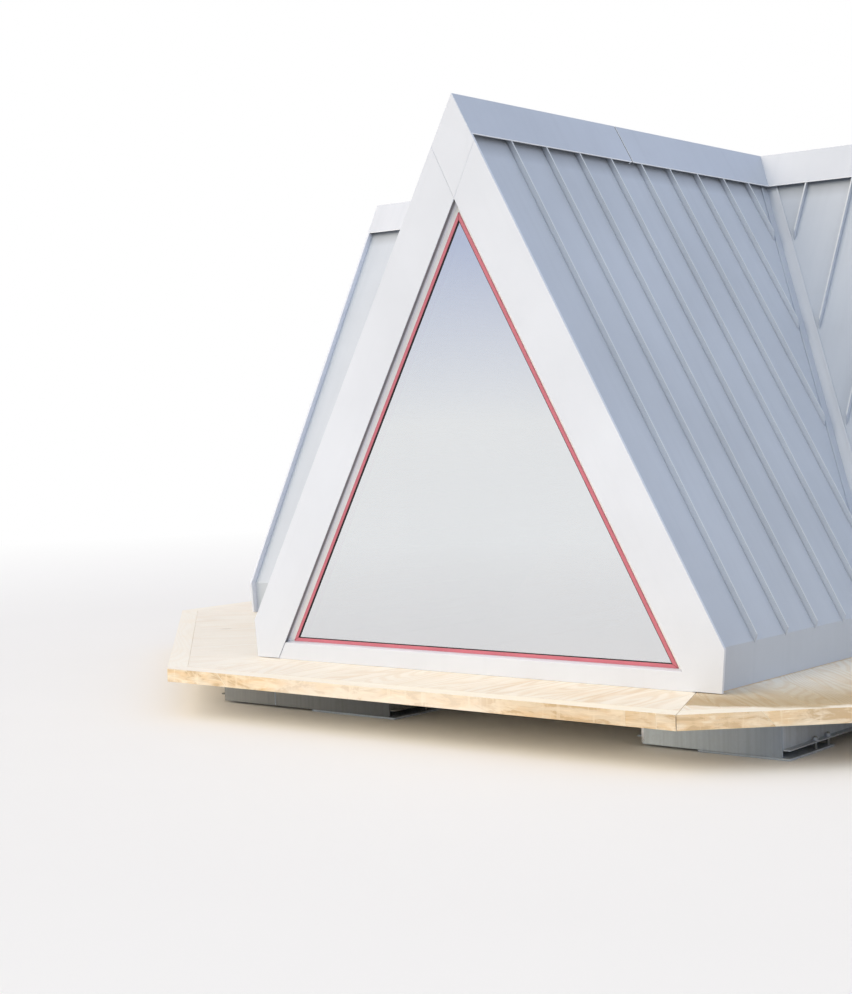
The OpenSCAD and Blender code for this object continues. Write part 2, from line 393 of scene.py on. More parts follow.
def modify(obj, kind, **values):
    """Adds a modifier and applies it"""
    only(obj)
    modifier = obj.modifiers.new(kind.title(), kind)
    for name, value in values.items():
        setattr(modifier, name, value)
    bpy.ops.object.modifier_apply(modifier=modifier.name)


def ease_edges(obj, width, segments=2):
    """Rounds the sharp edges a little and smooths the shading between them"""
    modify(
        obj, "BEVEL", width=width, segments=segments, limit_method="ANGLE",
        angle_limit=SHARP, use_clamp_overlap=True, harden_normals=False,
    )
    only(obj)
    bpy.ops.object.shade_smooth_by_angle(angle=SMOOTH)


def give_painted_highlight(obj, test, plain="roof", highlight="pale_painted_highlight"):
    """Gives an object its plain finish, and the pale finish of a painted highlight to the faces that pass a
    test
    """
    obj.data.materials.clear()
    obj.data.materials.append(FINISH[plain])
    obj.data.materials.append(FINISH[highlight])
    for face in obj.data.polygons:
        face.material_index = 1 if test(face) else 0


def copy_of(obj, name):
    """A copy with its own mesh"""
    made = bpy.data.objects.new(name, obj.data.copy())
    bpy.context.scene.collection.objects.link(made)
    return made


def joined(name, pieces):
    """Joins pieces into one"""
    bpy.ops.object.select_all(action="DESELECT")
    for piece in pieces:
        piece.select_set(True)
    bpy.context.view_layer.objects.active = pieces[0]
    bpy.ops.object.join()
    pieces[0].name = name
    only(pieces[0])
    return pieces[0]


def placed(obj, matrix):
    """Puts the mesh where the matrix says"""
    obj.data.transform(matrix)
    if matrix.determinant() < 0:
        obj.data.flip_normals()
    return obj


def turned(arm):
    """Turns a piece of the front arm to another arm"""
    return Matrix.Rotation(math.radians(90 * ARMS.index(arm)), 4, "Z")


MIRROR = Matrix.Diagonal((-1, 1, 1, 1))
HANDS = (("right", Matrix.Identity(4)), ("left", MIRROR))


def axes_matrix(columns):
    """Matrix whose columns are three axes and an origin"""
    matrix = Matrix.Identity(4)
    for column, axis in enumerate(columns):
        for row in range(3):
            matrix[row][column] = axis[row]
    return matrix


def finished(obj, material, slot, *nodes):
    """Gives a piece its material, lets it ride on the cabin and stand for its solids; the slot it is handed
    is not used
    """
    if not obj.data.materials:
        obj.data.materials.append(material)
    modify(obj, "WEIGHTED_NORMAL", keep_sharp=True, weight=50)
    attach(obj, "root")
    if nodes:
        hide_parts(*nodes)
    return obj


def drawn_shift(number, far):
    """A shift that a number always gives again, up to a length along each axis"""
    draw = random.Random(number)
    return Vector((draw.uniform(0, far), draw.uniform(0, far), draw.uniform(0, far)))


def shift_pattern(obj, number):
    """Moves the pattern of a copy, so that no two copies show the same stretch of it"""
    shift = drawn_shift(number, 40)
    for entry in obj.data.attributes["place"].data:
        entry.vector = Vector(entry.vector) + shift


def mark_place(obj, along, across, board=None):
    """Stores each corner's place along and across the piece, shifted for each board"""
    mesh = obj.data
    layer = mesh.attributes.new("place", "FLOAT_VECTOR", "CORNER")
    along, across = Vector(along), Vector(across)
    off = along.cross(across)
    for face in mesh.polygons:
        shift = Vector()
        lengthwise, crosswise = along, across
        if board:
            number, sideways = board(face.center)
            shift = drawn_shift(number, 20)
            if sideways:
                lengthwise, crosswise = across, along
        for corner in face.loop_indices:
            co = mesh.vertices[mesh.loops[corner].vertex_index].co
            spot = Vector((co.dot(lengthwise), co.dot(crosswise), co.dot(off)))
            layer.data[corner].vector = spot + shift


# Materials

def node(tree, kind, inputs=(), **values):
    """Adds a shader node, and sets or links its inputs"""
    made = tree.nodes.new(kind)
    for name, value in values.items():
        setattr(made, name, value)
    for name, value in dict(inputs).items():
        if isinstance(value, bpy.types.NodeSocket):
            tree.links.new(value, made.inputs[name])
        else:
            made.inputs[name].default_value = value
    return made


def new_material(name, **constants):
    """A material with its own tree and shader, whose plain values are set on the shader"""
    material = bpy.data.materials.new(name)
    material.use_nodes = True
    shader = material.node_tree.nodes["Principled BSDF"]
    for socket, value in constants.items():
        shader.inputs[socket.replace("_", " ")].default_value = value
    return material, material.node_tree, shader


def coordinates(tree, scale=(1, 1, 1), source="Object"):
    """Object coordinates, or the piece's own stored place, stretched"""
    if source == "Object":
        origin = node(tree, "ShaderNodeTexCoord").outputs["Object"]
    else:
        origin = node(tree, "ShaderNodeAttribute", attribute_name=source).outputs["Vector"]
    return node(tree, "ShaderNodeMapping", {"Vector": origin, "Scale": scale}).outputs["Vector"]


def noise(tree, vector, scale, detail=3.0, roughness=0.5, distortion=0.0):
    """Soft noise from 0 to 1"""
    return node(tree, "ShaderNodeTexNoise", {
        "Vector": vector, "Scale": scale, "Detail": detail, "Roughness": roughness,
        "Distortion": distortion,
    }).outputs["Fac"]


def spread(tree, value, low, high, out_low=0.0, out_high=1.0):
    """Maps a value from one range to another and keeps it there"""
    return node(tree, "ShaderNodeMapRange", {
        "Value": value, "From Min": low, "From Max": high, "To Min": out_low, "To Max": out_high,
    }).outputs["Result"]


def blend(tree, factor, first, second, mode="MIX"):
    """Blends two colours"""
    made = node(tree, "ShaderNodeMix", data_type="RGBA", blend_type=mode)
    for index, value in ((0, factor), (6, first), (7, second)):
        if isinstance(value, bpy.types.NodeSocket):
            tree.links.new(value, made.inputs[index])
        elif index == 0:
            made.inputs[index].default_value = value
        else:
            made.inputs[index].default_value = (*value[:3], 1)
    return made.outputs[2]


def bump(tree, height, distance, strength=1.0, below=None):
    """Bump from a height, on top of the bump below it"""
    inputs = {"Height": height, "Distance": distance, "Strength": strength}
    if below:
        inputs["Normal"] = below
    return node(tree, "ShaderNodeBump", inputs).outputs["Normal"]


def shade(colour, factor):
    """A colour made lighter or darker"""
    return tuple(min(1, part * factor) for part in colour[:3])


def work_out(tree, kind, first, second):
    """Adds, subtracts or multiplies two values"""
    return node(tree, "ShaderNodeMath", {0: first, 1: second}, operation=kind).outputs["Value"]


def reach(tree, direction):
    """How far a point lies along a direction from the cabin's middle"""
    return node(
        tree, "ShaderNodeVectorMath", {0: coordinates(tree), 1: direction}, operation="DOT_PRODUCT",
    ).outputs["Value"]


def band(tree, value, start, full, still, end):
    """Rises from start to full, and falls again from still to end"""
    rise = spread(tree, value, start, full)
    fall = spread(tree, value, still, end, 1, 0)
    return work_out(tree, "MULTIPLY", rise, fall)


def tint(tree, base, value, start, full, most, colour):
    """Lays a colour over the base, more of it as a value goes from start to full"""
    return blend(tree, spread(tree, value, start, full, 0, most), base, colour)


def wire(tree, shader, base, rough, normal):
    """Links a finish to its shader"""
    tree.links.new(base, shader.inputs["Base Color"])
    tree.links.new(rough, shader.inputs["Roughness"])
    tree.links.new(normal, shader.inputs["Normal"])


def deck_paling_and_painted_shadow(tree, base):
    """Pales the deck towards its left, and darkens a strip on its right-hand front side with painted shadow
    """
    base = tint(tree, base, reach(tree, (1, 0, 0)), 1.2, -1.2, 0.4, (1.0, 0.96, 0.88))
    return blend(tree, painted_shadow_strip(tree), base, (0.60, 0.51, 0.36), "MULTIPLY")


def painted_shadow_strip(tree):
    """Painted shadow on the deck: a ragged strip behind a lit rim of one side, between its mitres"""
    half = math.sqrt(0.5)
    slope = math.tan(math.pi / 8)
    seam = 0.004
    along = reach(tree, (half, half, 0))
    inwards = spread(tree, reach(tree, (half, -half, 0)), DECK_R, DECK_R - 1)
    lit_rim = spread(tree, along, -1.62, -1.15, 0.24, 0.03)
    ragged = spread(tree, noise(tree, coordinates(tree), 9, 4, 0.6), 0.3, 0.7, -0.04, 0.04)
    behind = work_out(tree, "ADD", work_out(tree, "SUBTRACT", inwards, lit_rim), ragged)
    after_mitre = spread(tree, reach(tree, (half * (1 + slope), half * (1 - slope), 0)), 0, seam)
    before_mitre = spread(tree, reach(tree, (half * (slope - 1), -half * (slope + 1), 0)), 0, seam)
    on_side = work_out(tree, "MULTIPLY", after_mitre, before_mitre)
    strip = work_out(tree, "MULTIPLY", band(tree, behind, -0.01, 0.05, 0.25, 0.85), on_side)
    return work_out(tree, "MULTIPLY", strip, spread(tree, along, -0.3, 1.2, 1, 0))


def coated_sheet(name, colour, rough_low, rough_high, metallic=0.0, painted_shade=None, painted_shade_under_cap=None):
    """Coil-coated sheet: faint clouding, rain streaks down the fall, thin dust, and painted shade where
    asked
    """
    material, tree, shader = new_material(name, Metallic=metallic, Specular_IOR_Level=0.5)
    body = coordinates(tree)
    clouds = noise(tree, body, 1.3, 4)
    streaks = noise(tree, coordinates(tree, (0.7, 16, 1), "place"), 1.0, 5, 0.6)
    dust = noise(tree, body, 38, 5, 0.7)
    base = blend(tree, spread(tree, clouds, 0.35, 0.65), shade(colour, 0.965), shade(colour, 1.03))
    base = tint(tree, base, streaks, 0.55, 0.8, 0.16, shade(colour, 0.86))
    base = tint(tree, base, dust, 0.62, 0.8, 0.10, (0.86, 0.85, 0.82))
    # Painted shadow darkens the pans just below the ridge cap's lower edge
    if painted_shade_under_cap:
        base = tint(tree, base, reach(tree, (0, 0, 1)), *painted_shade_under_cap, 0.40, PAINTED_SHADE_COLOUR)
    # Painted shade, stored per point, darkens the sheet where a slot lies behind the trim's face
    if painted_shade:
        mark = node(tree, "ShaderNodeAttribute", attribute_name="painted_shade").outputs["Fac"]
        base = tint(tree, base, mark, 0.0, 0.35, 0.85, painted_shade)
    panning = bump(tree, noise(tree, body, 2.2, 2), 0.004, 0.35)
    peel = bump(tree, noise(tree, body, 900, 2), 0.00005, 0.5, panning)
    wire(tree, shader, base, spread(tree, streaks, 0.3, 0.75, rough_low, rough_high), peel)
    return material


def timber(name, pale, dark, rough, grain_strength, on_deck_top=False):
    """Softwood board: growth rings cut lengthwise, fine fibres, knots and tone from board to board"""
    material, tree, shader = new_material(name, Specular_IOR_Level=0.35)
    place = coordinates(tree, (1, 1, 1), "place")
    drift = node(tree, "ShaderNodeTexNoise", {
        "Vector": coordinates(tree, (0.35, 1.6, 1.6), "place"), "Scale": 1.0, "Detail": 2.0,
    }).outputs["Color"]
    bent = node(tree, "ShaderNodeVectorMath", {0: place, 1: drift}, operation="ADD").outputs["Vector"]
    drawn_out = node(tree, "ShaderNodeMapping", {"Vector": bent, "Scale": (0.06, 1, 1)}).outputs["Vector"]
    rings = node(tree, "ShaderNodeTexWave", {
        "Vector": drawn_out, "Scale": 9.0, "Distortion": 0.8, "Detail": 2.0, "Detail Scale": 1.2,
    }, wave_type="RINGS", rings_direction="X").outputs["Fac"]
    fibres = noise(tree, coordinates(tree, (3, 160, 160), "place"), 1.0, 5, 0.65)
    patches = noise(tree, coordinates(tree, (2.2, 5, 5), "place"), 1.0, 4, 0.55)
    tone = noise(tree, coordinates(tree, (0.02, 0.3, 0.3), "place"), 1.0, 1)
    knots = node(tree, "ShaderNodeTexVoronoi", {
        "Vector": coordinates(tree, (0.9, 2.4, 2.4), "place"), "Scale": 1.0, "Randomness": 1.0,
    }).outputs["Distance"]
    base = tint(tree, pale, rings, 0.35, 0.95, 0.75 * grain_strength, dark)
    base = tint(tree, base, fibres, 0.45, 0.75, 0.35 * grain_strength, shade(dark, 0.8))
    base = tint(tree, base, patches, 0.52, 0.72, 0.45, shade(dark, 1.08))
    base = tint(tree, base, tone, 0.35, 0.65, 0.30, shade(pale, 1.08))
    base = blend(tree, spread(tree, knots, 0.025, 0.045, 0.8, 0), base, shade(dark, 0.42))
    # Deck boards pale towards the left and take a painted shadow on the right-hand front side
    if on_deck_top:
        base = deck_paling_and_painted_shadow(tree, base)
    relief = bump(tree, rings, 0.0008, 0.35, bump(tree, fibres, 0.0006, 0.6))
    wire(tree, shader, base, spread(tree, fibres, 0.3, 0.7, rough - 0.06, rough + 0.12), relief)
    return material


def sawn_edge(name, pale, dark):
    """Sawn edge of the deck: tan and orange patches, pale blotches, lengthwise fibres and cross cuts"""
    material, tree, shader = new_material(name, Specular_IOR_Level=0.3)
    board = noise(tree, coordinates(tree, (0.02, 0.3, 0.3), "place"), 1.0, 1)
    long_patch = noise(tree, coordinates(tree, (2.6, 11, 11), "place"), 1.0, 4, 0.6, 0.6)
    warm_patch = noise(tree, coordinates(tree, (5.5, 20, 20), "place"), 1.0, 5, 0.62, 0.7)
    fibres = noise(tree, coordinates(tree, (5, 220, 220), "place"), 1.0, 5, 0.65)
    streaks = noise(tree, coordinates(tree, (26, 1.5, 3), "place"), 1.0, 4, 0.6)
    base = tint(tree, pale, long_patch, 0.45, 0.60, 0.8, shade(dark, 1.15))
    base = tint(tree, base, warm_patch, 0.51, 0.59, 0.85, shade(dark, 0.80))
    base = tint(tree, base, warm_patch, 0.46, 0.37, 0.9, shade(pale, 1.18))
    base = tint(tree, base, fibres, 0.45, 0.75, 0.30, shade(dark, 0.75))
    base = tint(tree, base, streaks, 0.57, 0.66, 0.45, shade(pale, 1.16))
    base = tint(tree, base, board, 0.35, 0.65, 0.40, shade(dark, 1.1))
    # Paler across the middle of the edge, darker towards its right-hand end
    side = reach(tree, (1, 0, 0))
    paler_band = work_out(tree, "MULTIPLY", band(tree, side, -0.95, -0.75, 0.55, 0.75), 0.36)
    base = blend(tree, paler_band, base, (0.95, 0.91, 0.86))
    base = blend(tree, band(tree, side, 0.70, 0.90, 1.72, 1.74), base, (0.88, 0.87, 0.86), "MULTIPLY")
    wire(tree, shader, base, spread(tree, fibres, 0.3, 0.7, 0.6, 0.8), bump(tree, fibres, 0.0008, 0.6))
    return material


def galvanised(name, colour, rough_low, rough_high, far=None, stretch=(0, 1), metallic=0.35):
    """Hot-dip galvanised steel: spangle, upright run marks, chalky patches, perhaps painted light and shade
    fading it lengthwise to a darker end
    """
    material, tree, shader = new_material(name, Metallic=metallic)
    body = coordinates(tree)
    spangle = node(tree, "ShaderNodeTexVoronoi", {"Vector": body, "Scale": 70.0}).outputs["Color"]
    tone = node(tree, "ShaderNodeSeparateColor", {"Color": spangle}).outputs["Red"]
    runs = noise(tree, coordinates(tree, (42, 42, 1.2)), 1.0, 4, 0.6)
    chalk = noise(tree, body, 6, 5, 0.6)
    plain = colour
    # The far colour fades the steel lengthwise from painted light to painted shade
    if far:
        lengthwise = node(tree, "ShaderNodeSeparateXYZ", {"Vector": body}).outputs["X"]
        plain = blend(tree, spread(tree, lengthwise, *stretch), colour, far)
    marks = tint(tree, (0.86, 0.86, 0.86), tone, 0, 1, 0.5, (1, 1, 1))
    marks = tint(tree, marks, runs, 0.42, 0.68, 0.5, (0.66, 0.66, 0.66))
    base = blend(tree, 1.0, plain, marks, "MULTIPLY")
    base = tint(tree, base, chalk, 0.55, 0.78, 0.30, shade(far or colour, 1.45))
    rough = spread(tree, tone, 0, 1, rough_low, rough_high)
    wire(tree, shader, base, rough, bump(tree, runs, 0.0008, 0.4))
    return material


def powder_coat(name, colour):
    """Powder-coated aluminium with a fine orange-peel skin"""
    material, tree, shader = new_material(
        name, Specular_IOR_Level=0.5, Coat_Weight=0.1, Coat_Roughness=0.25,
    )
    body = coordinates(tree)
    clouds = noise(tree, body, 4, 4)
    dust = noise(tree, body, 60, 5, 0.7)
    base = blend(tree, spread(tree, clouds, 0.3, 0.7), shade(colour, 0.93), shade(colour, 1.06))
    base = tint(tree, base, dust, 0.6, 0.85, 0.18, (0.80, 0.70, 0.68))
    peel = bump(tree, noise(tree, body, 700, 2), 0.0001, 0.6)
    wire(tree, shader, base, spread(tree, clouds, 0.3, 0.7, 0.34, 0.46), peel)
    return material


def rubber(name):
    """Black glazing gasket with a dusty bloom"""
    material, tree, shader = new_material(name, Specular_IOR_Level=0.3)
    bloom = noise(tree, coordinates(tree), 25, 5, 0.7)
    base = tint(tree, (0.018, 0.018, 0.02), bloom, 0.5, 0.8, 0.6, (0.09, 0.09, 0.092))
    wire(tree, shader, base, spread(tree, bloom, 0.3, 0.8, 0.55, 0.8), bump(tree, bloom, 0.0004, 0.4))
    return material


def pane_glass(name, colour, metallic, alpha):
    """Thin pane of window glass: a coated face mirrors more and lets less through"""
    material, tree, shader = new_material(
        name, Metallic=metallic, Alpha=alpha, Specular_IOR_Level=0.6,
    )
    body = coordinates(tree)
    film = noise(tree, body, 1.6, 4, 0.6)
    base = blend(tree, spread(tree, film, 0.3, 0.7), shade(colour, 0.985), colour)
    waves = bump(tree, noise(tree, body, 1.1, 2), 0.0015, 0.12)
    wire(tree, shader, base, spread(tree, film, 0.4, 0.8, 0.015, 0.04), waves)
    return material


FINISH = {}
# Dark colour of painted shade in the trims' slots and below the ridge caps
PAINTED_SHADE_COLOUR = (0.10, 0.10, 0.11)


class CABIN_OT_materials(bpy.types.Operator):
    """Make the finishes of the cabin"""

    bl_idname = "cabin.materials"
    bl_label = "Finishes"

    def execute(self, context):
        finish = settings().finish
        metal_tint = 0.25
        # Heights over which painted shadow darkens the pans below the ridge caps
        painted_shade_under_cap = (3.15, 3.26)
        FINISH["roof"] = coated_sheet("coated_roof_sheet", finish.roof, 0.38, 0.50, metal_tint)
        FINISH["pans"] = coated_sheet(
            "matt_pan_sheet", finish.roof, 0.64, 0.76, metal_tint, painted_shade_under_cap=painted_shade_under_cap,
        )
        # Near-white sheet for painted highlights on edges and folds
        FINISH["pale_painted_highlight"] = coated_sheet("sheet_edge_painted_highlight", finish.edge, 0.34, 0.44)
        # Paler sheet that paints a highlight along the tops of the seams
        FINISH["seam_crest_highlight"] = coated_sheet("seam_crest_painted_highlight", (0.68, 0.71, 0.745), 0.50, 0.62)
        # The trim darkens in the slot behind its face: painted shade
        FINISH["trim"] = coated_sheet("coated_trim_sheet", finish.trim, 0.40, 0.54, painted_shade=PAINTED_SHADE_COLOUR)
        FINISH["board_edge"] = coated_sheet("painted_board_edge", (1.0, 1.0, 0.98), 0.45, 0.55)
        FINISH["deck"] = timber(
            "sawn_deck_timber", finish.timber_pale, finish.timber_dark, 0.62, 0.5, on_deck_top=True,
        )
        FINISH["border"] = timber(
            "planed_border_timber", (1.0, 0.91, 0.76), (0.92, 0.75, 0.53), 0.55, 0.4, on_deck_top=True,
        )
        FINISH["deck_edge"] = sawn_edge("sawn_deck_edge", (0.84, 0.73, 0.575), finish.timber_dark)
        FINISH["floor"] = timber(
            "planed_floor_timber", shade(finish.timber_pale, 0.96), finish.timber_dark, 0.5, 1.0,
        )
        FINISH["lining"] = timber("lining_timber", (0.85, 0.72, 0.54), (0.70, 0.50, 0.30), 0.55, 0.7)
        FINISH["zinc"] = galvanised("galvanised_steel", finish.zinc, 0.38, 0.62)
        FINISH["bright_zinc"] = galvanised("rubbed_zinc", (0.93, 0.95, 1.0), 0.2, 0.3, metallic=1.0)
        # Darker copy of the galvanised steel for the left beams and the studs: painted shade
        FINISH["shaded_zinc"] = galvanised("zinc_in_painted_shade", (0.24, 0.25, 0.245), 0.5, 0.7)
        # Each end channel fades lengthwise from painted light to painted shade
        FINISH["channel_right"] = galvanised(
            "channel_steel_right", (0.88, 0.96, 1.0), 0.38, 0.62, (0.31, 0.36, 0.43), (1.17, 1.96),
        )
        FINISH["channel_left"] = galvanised(
            "channel_steel_left", (0.38, 0.39, 0.385), 0.5, 0.7, (0.17, 0.18, 0.19), (-1.6, -0.6),
        )
        FINISH["spacer"] = galvanised("spacer_aluminium", (0.62, 0.64, 0.66), 0.3, 0.4)
        FINISH["red"] = powder_coat("red_powder_coat", finish.red)
        FINISH["gasket"] = rubber("black_gasket")
        FINISH["coated_glass"] = pane_glass("coated_glass", finish.glass, 1.0, 0.80)
        FINISH["clear_glass"] = pane_glass("clear_glass", (0.80, 0.90, 0.88), 0.0, 0.10)
        return {"FINISHED"}


# The roof is modelled lying down: x runs down the rake, y inwards along the arm, z out of the roof

SEAM_STOP = 0.070


def roof_matrix():
    """Stands the roof's own space up as the right-hand slope of the front arm"""
    return axes_matrix((DOWN_RAKE, Vector((0, 1, 0)), OUT_OF_ROOF, APEX))


def on_roof(x, z):
    """Turns a point of the gable, measured from the middle and the deck, into the roof's own space"""
    step = Vector((x, 0, z + DECK_TOP - APEX_Z))
    return step.dot(DOWN_RAKE), step.dot(OUT_OF_ROOF)


RIDGE_NORMAL = Vector((math.sin(HALF_ANGLE), 0, math.cos(HALF_ANGLE)))
VALLEY_NORMAL = Vector((math.sin(HALF_ANGLE), 1, math.cos(HALF_ANGLE))).normalized()


def inner_side(piece, outwards):
    """Where a piece's side towards the inside lies, measured out of the roof from the apex"""
    return min((v.co - APEX).dot(outwards) for v in piece.data.vertices)


def valley_point(strip):
    """A point of the plane that stands a strip's width before the valley"""
    return Vector((0, ARM_L - strip * math.sqrt(2), 0))


def seam_places():
    """Distances of the standing seams from the gable face"""
    roof = settings().roof
    count = int((ARM_L - roof.seam_first) / roof.seam_pitch) + 1
    return [roof.seam_first + number * roof.seam_pitch for number in range(count)]


def pan_knee():
    """Where the pans are folded at the knee, down the rake and out of the roof"""
    return on_roof(KNEE.x - settings().roof.pan_drop / math.cos(HALF_ANGLE), KNEE.z - DECK_TOP)


def roof_pans():
    """Pans of one slope: a sheet that bulges a little between its seams, with a fold at the knee"""
    roof = settings().roof
    verge = 0.005
    foot_gap = 0.004
    beside_seam = 0.006
    verge_lines = [0.1, 0.24]
    rows = 12
    flat_end = 0.05
    knee, level = pan_knee()
    foot, low = on_roof(FOOT_X - roof.pan_drop, foot_gap)
    bpy.ops.object.select_all(action="DESELECT")
    bpy.ops.mesh.primitive_plane_add(size=1, location=(knee / 2, (verge + ARM_L) / 2, level))
    pans = bpy.context.object
    pans.scale = (knee, ARM_L - verge, 1)
    bpy.ops.object.transform_apply(location=True, rotation=True, scale=True)
    with editing(pans):
        pick(pans, "EDGE", lambda e: middle(e).x > knee - TINY)
        extrude((foot - knee, 0, low - level))
        for number in range(1, rows):
            cut(pans, (knee * number / rows, 0, 0), (1, 0, 0))
        for place in seam_places():
            for offset in (-beside_seam, beside_seam, roof.seam_pitch / 3, roof.seam_pitch * 2 / 3):
                cut(pans, (0, place + offset, 0), (0, 1, 0))
        for place in verge_lines:
            cut(pans, (0, place, 0), (0, 1, 0))
        inner = [place + part * roof.seam_pitch for place in seam_places() for part in (1 / 3, 2 / 3)]
        inner += verge_lines
        pick(pans, "VERT", lambda v: (
            v.co.x < knee - flat_end and any(abs(v.co.y - y) < TINY for y in inner)
        ))
        bpy.ops.transform.vertex_random(offset=roof.waviness, uniform=0, normal=1, seed=4)
        cut(pans, valley_point(0), VALLEY_NORMAL, "behind", fill=False)
        cut(pans, (0, 0, roof.sheet), RIDGE_NORMAL, "ahead", fill=False)
    modify(pans, "SOLIDIFY", thickness=roof.sheet, offset=-1)
    pans.data.materials.append(FINISH["pans"])
    only(pans)
    bpy.ops.object.shade_smooth_by_angle(angle=SHALLOW)
    return pans


def standing_seam(place):
    """One standing seam: an upright web with a folded lock along its top, cut off at the valley"""
    roof = settings().roof
    web = roof.seam_web / 2
    buried = 0.002
    start, end = 0.02, RAKE_L - 0.004
    lock_foot, crease, lock_shift = -0.005 - roof.lock_h, 0.0005, -0.0015
    top, highlit_above, highlit_side = -0.0045, -0.0075, 0.6
    seam = block("seam", (start, place - web, -roof.pan_drop - buried), (end, place + web, lock_foot))
    with editing(seam):
        pick(seam, "FACE", lambda f: f.normal.z > FACING)
        extrude((0, 0, crease))
        bpy.ops.transform.resize(
            value=(1, roof.seam_lock / roof.seam_web, 1), center_override=(0, place, 0)
        )
        bpy.ops.transform.translate(value=(0, lock_shift, 0))
        extrude((0, 0, roof.lock_h))
        cut(seam, (end - roof.pan_drop, 0, top), (1, 0, 0.9), "behind")
        cut(seam, valley_point(SEAM_STOP), VALLEY_NORMAL, "behind")
        cut(seam, (0, 0, roof.sheet), RIDGE_NORMAL, "ahead")
    ease_edges(seam, 0.0022, 2)
    # The top of each lock takes a paler sheet: painted highlight
    give_painted_highlight(seam, lambda face: (
        face.center.z > highlit_above and face.normal.y < highlit_side
    ), "pans", "seam_crest_highlight")
    return seam


def roof_slope():
    """One slope of the metal roof, in its own space"""
    shortest = 0.05
    last = ARM_L - SEAM_STOP * math.sqrt(2) - shortest
    pans = roof_pans()
    seams = [standing_seam(place) for place in seam_places() if place < last]
    return joined("slope", [pans] + seams)


class CABIN_OT_roof_slopes(bpy.types.Operator):
    """Model the pans and standing seams of the eight slopes"""

    bl_idname = "cabin.roof_slopes"
    bl_label = "Roof slopes"

    def execute(self, context):
        slope = roof_slope()
        mark_place(slope, (1, 0, 0), (0, 1, 0))
        for number, arm in enumerate(ARMS):
            for side, hand in HANDS:
                piece = copy_of(slope, f"roof_sheets_{arm}_{side}")
                shift_pattern(piece, 10 + 2 * number + (side == "left"))
                placed(piece, turned(arm) @ hand @ roof_matrix())
                finished(piece, FINISH["pans"], "roof_metal", f"{arm}_slope_{side}")
        bpy.data.objects.remove(slope)
        return {"FINISHED"}


def valley_half():
    """Half of a valley flashing: a flat strip on the pans with a welted free edge"""
    roof = settings().roof
    start, under, over = 0.03, 0.0005, 0.003
    welt_w, welt_h = 0.010, 0.007
    knee, level = pan_knee()
    half = block("valley", (start, 0, level + under), (knee, ARM_L, level + over))
    welt = valley_point(roof.valley_w - welt_w)
    with editing(half):
        cut(half, valley_point(0), VALLEY_NORMAL, "behind")
        cut(half, valley_point(roof.valley_w), VALLEY_NORMAL, "ahead")
        cut(half, welt, VALLEY_NORMAL)
        pick(half, "FACE", lambda f: (
            f.normal.z > FACING and (f.calc_center_median() - welt).dot(VALLEY_NORMAL) < 0
        ))
        extrude((0, 0, welt_h))
    ease_edges(half, 0.0012, 2)
    return half


class CABIN_OT_valleys(bpy.types.Operator):
    """Model the flashings of the four valleys"""

    bl_idname = "cabin.valleys"
    bl_label = "Valley flashings"

    def execute(self, context):
        half = valley_half()
        mark_place(half, (1, 0, 0), (0, 1, 0))
        for number, arm in enumerate(ARMS):
            after = ARMS[(number + 1) % 4]
            right = placed(copy_of(half, "right_half"), turned(arm) @ roof_matrix())
            left = placed(copy_of(half, "left_half"), turned(after) @ MIRROR @ roof_matrix())
            piece = joined(f"valley_flashing_{arm}_{after}", [right, left])
            finished(piece, FINISH["roof"], "roof_metal")
        bpy.data.objects.remove(half)
        return {"FINISHED"}


def cap_side(start, end):
    """Right-hand side of one length of ridge cap: a flat leaf with a hemmed drip at its lower edge"""
    roof = settings().roof
    hem = 0.004
    side = block("cap_side", (0, start, -roof.sheet), (roof.cap_w, end, 0))
    with editing(side):
        pick(side, "FACE", lambda f: f.normal.x > FACING)
        extrude((hem, 0, 0))
        pick(side, "FACE", lambda f: f.normal.z < -FACING and f.calc_center_median().x > roof.cap_w)
        extrude((0, 0, -roof.hem_h))
        cut(side, (0, 0, 0), RIDGE_NORMAL, "ahead")
        cut(side, valley_point(0), VALLEY_NORMAL, "behind")
    ease_edges(side, 0.0014, 2)
    # The hem's lower edge and the cap's upper sides take the pale painted highlight
    give_painted_highlight(side, lambda face: (
        face.center.x > roof.cap_w - 0.001 or abs(face.normal.y) > 0.3 and face.center.z > -0.003
    ))
    return side


def joint_strip():
    """Strip under the joint between two lengths of cap, whose end shows below the hem"""
    roof = settings().roof
    start, short = 0.003, 0.002
    half_w, low, high = 0.008, -0.0050, -0.0030
    tongue, drop = 0.008, -0.004
    strip = block(
        "joint_strip", (start, roof.cap_joint - half_w, low),
        (roof.cap_w - short, roof.cap_joint + half_w, high),
    )
    with editing(strip):
        pick(strip, "FACE", lambda f: f.normal.x > FACING)
        extrude((tongue, 0, 0))
        bpy.ops.transform.translate(value=(0, 0, drop))
    ease_edges(strip, 0.0006, 1)
    # The strip is a real joint strip; its black colour paints the shade in the joint
    strip.data.materials.append(FINISH["gasket"])
    return strip


def joint_tab():
    """Small tab of the joint strip, folded down below the hem"""
    roof = settings().roof
    inner, outer, half_w = 0.006, 0.003, 0.006
    low, high = -0.030, -roof.sheet - 0.001
    tab = block(
        "joint_tab", (roof.cap_w - inner, roof.cap_joint - half_w, low),
        (roof.cap_w - outer, roof.cap_joint + half_w, high),
    )
    with editing(tab):
        pick(tab, "FACE", lambda f: f.normal.z < -FACING)
        bpy.ops.transform.resize(value=(1, 0.6, 1), center_override=(0, roof.cap_joint, 0))
    ease_edges(tab, 0.0008, 1)
    # The whole tab takes the pale sheet of the painted highlights
    give_painted_highlight(tab, lambda face: True)
    return tab


